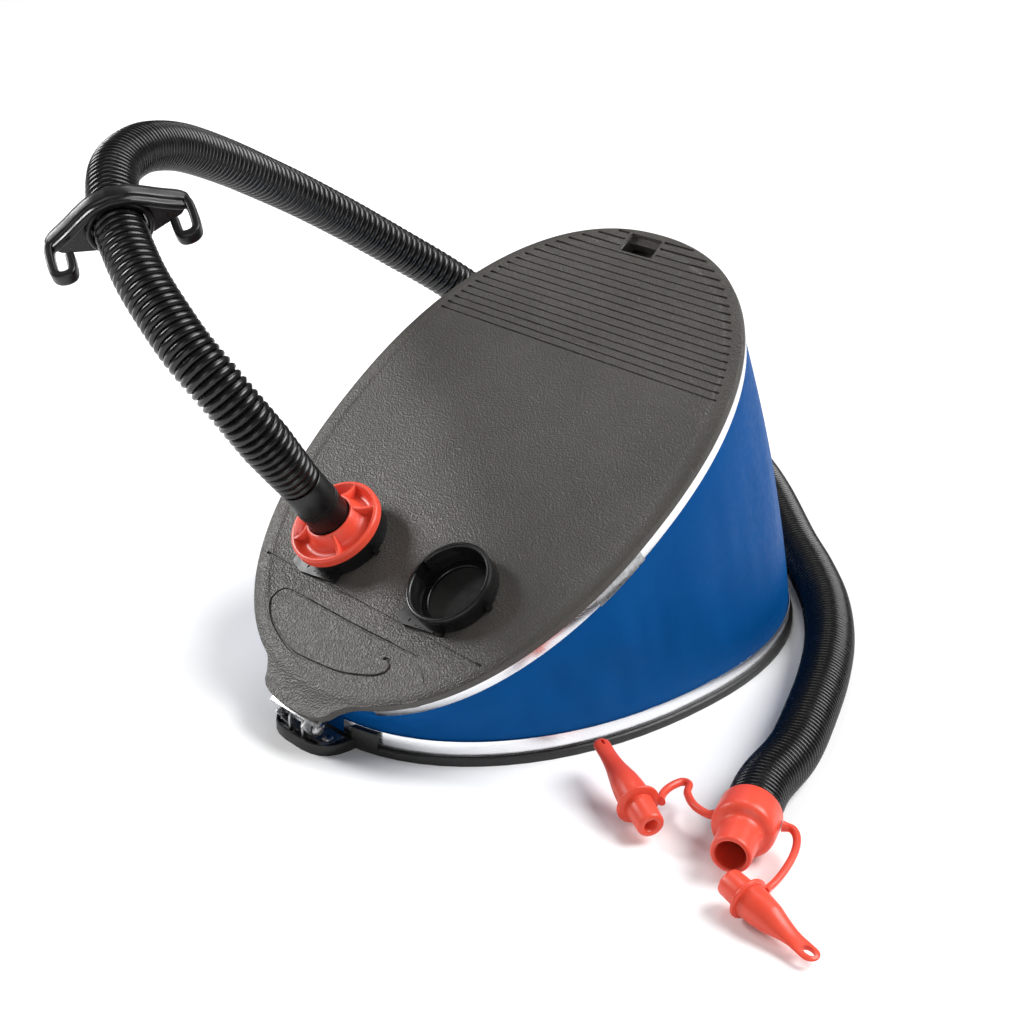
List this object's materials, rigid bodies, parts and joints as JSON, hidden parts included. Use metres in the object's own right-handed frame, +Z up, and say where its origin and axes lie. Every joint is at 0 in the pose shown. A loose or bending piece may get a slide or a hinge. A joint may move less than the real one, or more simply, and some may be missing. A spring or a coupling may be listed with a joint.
{
  "type": "bellows foot pump",
  "caption": "Wedge-shaped foot pump: a hinged pedal over a pleated bellows, inflate and deflate ports, and a corrugated hose with a tapered nozzle and tethered adapters.",
  "frame": {"origin": "on the floor, under the middle of the base plate's outline", "axes": "+X across the pump, from its inflate side to its deflate side, +Y from the hinge to the toe end, +Z up"},
  "size_m": [0.534, 0.4704, 0.2595],
  "materials": {
    "plate_plastic": "moulded leather grain, warm charcoal",
    "black_plastic": "semi-gloss moulded black",
    "red_plastic": "semi-gloss moulded orange red",
    "hose_plastic": "satin black, corrugated",
    "bellows_sheet": "satin blue vinyl sheet",
    "aluminium": "bright rolled strip",
    "zinc_steel": "bright zinc plating",
    "rubber": "matt black"
  },
  "bodies": {
    "base": {"base_plate": "black_plastic", "base_band": "aluminium", "base_band_clip": "zinc_steel", "base_hinge_bracket": "zinc_steel", "hinge_pin": "zinc_steel", "base_bracket_screw_left": "zinc_steel", "base_bracket_screw_right": "zinc_steel", "spring_seat_base": "black_plastic", "bellows": "bellows_sheet", "return_spring": "zinc_steel", "hose": "hose_plastic", "nozzle": "red_plastic"},
    "pedal": {"top_plate": "plate_plastic", "top_band": "aluminium", "top_band_clip": "zinc_steel", "pedal_hinge_bracket": "zinc_steel", "pedal_bracket_screw_left": "zinc_steel", "pedal_bracket_screw_right": "zinc_steel", "spring_seat_top": "black_plastic", "inflate_collar": "black_plastic", "deflate_collar": "black_plastic", "inflate_valve_seat": "black_plastic", "deflate_valve_seat": "black_plastic", "deflate_valve_cage": "black_plastic", "connector_seal": "rubber", "hose_cuff": "black_plastic"},
    "connector": {"bayonet_connector": "red_plastic"},
    "inflate_valve": {"inflate_valve_flap": "rubber"},
    "deflate_valve": {"deflate_valve_flap": "rubber"},
    "clip": {"hose_clip": "black_plastic"},
    "left_adapter": {"adapter_left": "red_plastic", "strap_left": "red_plastic"},
    "right_adapter": {"adapter_right": "red_plastic", "strap_right": "red_plastic"}
  },
  "joints": [
    {"name": "pedal_hinge", "type": "hinge", "parent": "base", "child": "pedal", "pos_m": [0, -0.1604, 0.011], "axis": [1, 0, 0], "range_deg": [-32, 0], "stiffness_Nm_per_rad": 6, "springref_deg": 28.65, "deforming": ["bellows", "return_spring", "hose"]},
    {"name": "connector_twist", "type": "hinge", "parent": "pedal", "child": "connector", "pos_m": [-0.041, -0.09771, 0.07323], "axis": [0, -0.5878, 0.809], "range_deg": [-35, 0]},
    {"name": "inflate_valve_lift", "type": "slide", "parent": "pedal", "child": "inflate_valve", "axis": [0, -0.5878, 0.809], "range_m": [0, 0.0025], "stiffness_N_per_m": 20, "springref_m": -0.002},
    {"name": "deflate_valve_drop", "type": "slide", "parent": "pedal", "child": "deflate_valve", "axis": [0, -0.5878, 0.809], "range_m": [-0.0035, 0], "stiffness_N_per_m": 20, "springref_m": 0.002},
    {"name": "hose_clip_turn", "type": "hinge", "parent": "pedal", "child": "clip", "pos_m": [-0.13704, -0.15584, 0.22723], "axis": [-0.826, 0.3363, 0.4523], "range_deg": [-45, 45]},
    {"name": "adapter_left_swing", "type": "hinge", "parent": "base", "child": "left_adapter", "pos_m": [0.189, -0.0796, 0.013], "axis": [0, 0, 1], "range_deg": [0, 15]},
    {"name": "adapter_right_swing", "type": "hinge", "parent": "base", "child": "right_adapter", "pos_m": [0.2162, -0.0648, 0.0136], "axis": [0, 0, 1], "range_deg": [0, 20]}
  ]
}
